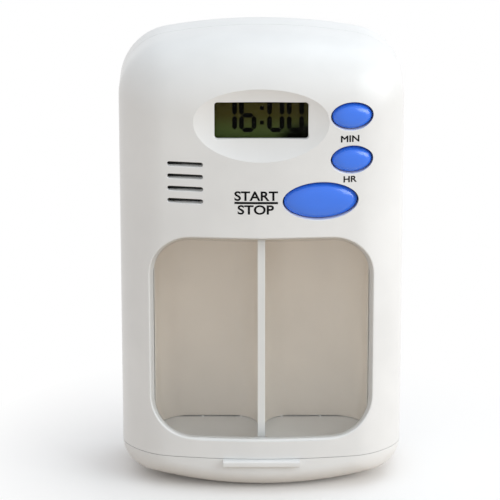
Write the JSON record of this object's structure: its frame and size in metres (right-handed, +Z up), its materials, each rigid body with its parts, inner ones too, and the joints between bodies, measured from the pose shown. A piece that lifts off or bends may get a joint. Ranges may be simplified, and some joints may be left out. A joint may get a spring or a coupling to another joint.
{
  "type": "electronic pill box",
  "caption": "Pocket pill box with a timer: tall compartments behind a clear window, a flip lid below, and a display, speaker and keys above.",
  "frame": {"origin": "on the surface that the box stands on, under the middle of its bounding box", "axes": "+Z up along the box, from its lid to its display; -Y out of the front with the window and the keys; +X to the right as the front is looked at"},
  "size_m": [0.055, 0.027, 0.091],
  "materials": {
    "white_plastic": "moulded, satin gloss",
    "clear_plastic": "clear, polished",
    "blue_plastic": "moulded, semi-gloss",
    "lcd_glass": "dark olive, reflective backing",
    "grey_plastic": "moulded, matt",
    "silicone_rubber": "matt",
    "board_laminate": "lacquered laminate",
    "chip_epoxy": "cast resin",
    "plated_steel": "nickel plated",
    "brass_sheet": "rolled sheet",
    "piezo_ceramic": "fired, silvered"
  },
  "bodies": {
    "housing": {"front_shell": "white_plastic", "rear_cover": "white_plastic", "window_pane": "clear_plastic", "pill_chamber": "white_plastic", "lid_hinge_pin": "plated_steel", "display_lens": "clear_plastic", "lcd_panel": "lcd_glass", "lcd_holder": "grey_plastic", "lcd_contact_strip": "silicone_rubber", "circuit_board": "board_laminate", "chip_blob": "chip_epoxy", "timing_crystal": "plated_steel", "keypad_mat": "silicone_rubber", "buzzer_disc": "brass_sheet", "buzzer_ceramic": "piezo_ceramic", "buzzer_spring_inner": "plated_steel", "buzzer_spring_outer": "plated_steel", "board_screw_lower": "plated_steel", "board_screw_upper_left": "plated_steel", "board_screw_upper_right": "plated_steel", "cover_screw_upper_left": "plated_steel", "cover_screw_upper_right": "plated_steel", "cover_screw_lower_left": "plated_steel", "cover_screw_lower_right": "plated_steel", "button_cell": "plated_steel", "battery_contact_positive": "brass_sheet", "battery_contact_negative": "brass_sheet"},
    "lid": {"bottom_lid": "white_plastic", "lid_floor_plate": "white_plastic"},
    "min_key": {"min_button": "blue_plastic", "min_contact_pad": "silicone_rubber"},
    "hour_key": {"hour_button": "blue_plastic", "hour_contact_pad": "silicone_rubber"},
    "start_stop_key": {"start_stop_button": "blue_plastic", "start_stop_contact_pad": "silicone_rubber"},
    "battery_cap": {"battery_cap": "white_plastic"}
  },
  "joints": [
    {"name": "lid_hinge", "type": "hinge", "parent": "housing", "child": "lid", "pos_m": [0, 0.012, 0.0057], "axis": [1, 0, 0], "range_deg": [0, 90]},
    {"name": "min_slide", "type": "slide", "parent": "housing", "child": "min_key", "axis": [0, 1, 0], "range_m": [0, 0.0007], "stiffness_N_per_m": 300, "springref_m": -0.0007},
    {"name": "hour_slide", "type": "slide", "parent": "housing", "child": "hour_key", "axis": [0, 1, 0], "range_m": [0, 0.0007], "stiffness_N_per_m": 300, "springref_m": -0.0007},
    {"name": "start_stop_slide", "type": "slide", "parent": "housing", "child": "start_stop_key", "axis": [0, 1, 0], "range_m": [0, 0.0007], "stiffness_N_per_m": 300, "springref_m": -0.0007},
    {"name": "battery_cap_turn", "type": "hinge", "parent": "housing", "child": "battery_cap", "pos_m": [0, 0.0135, 0.0705], "axis": [0, 1, 0], "range_deg": [0, 60]}
  ]
}
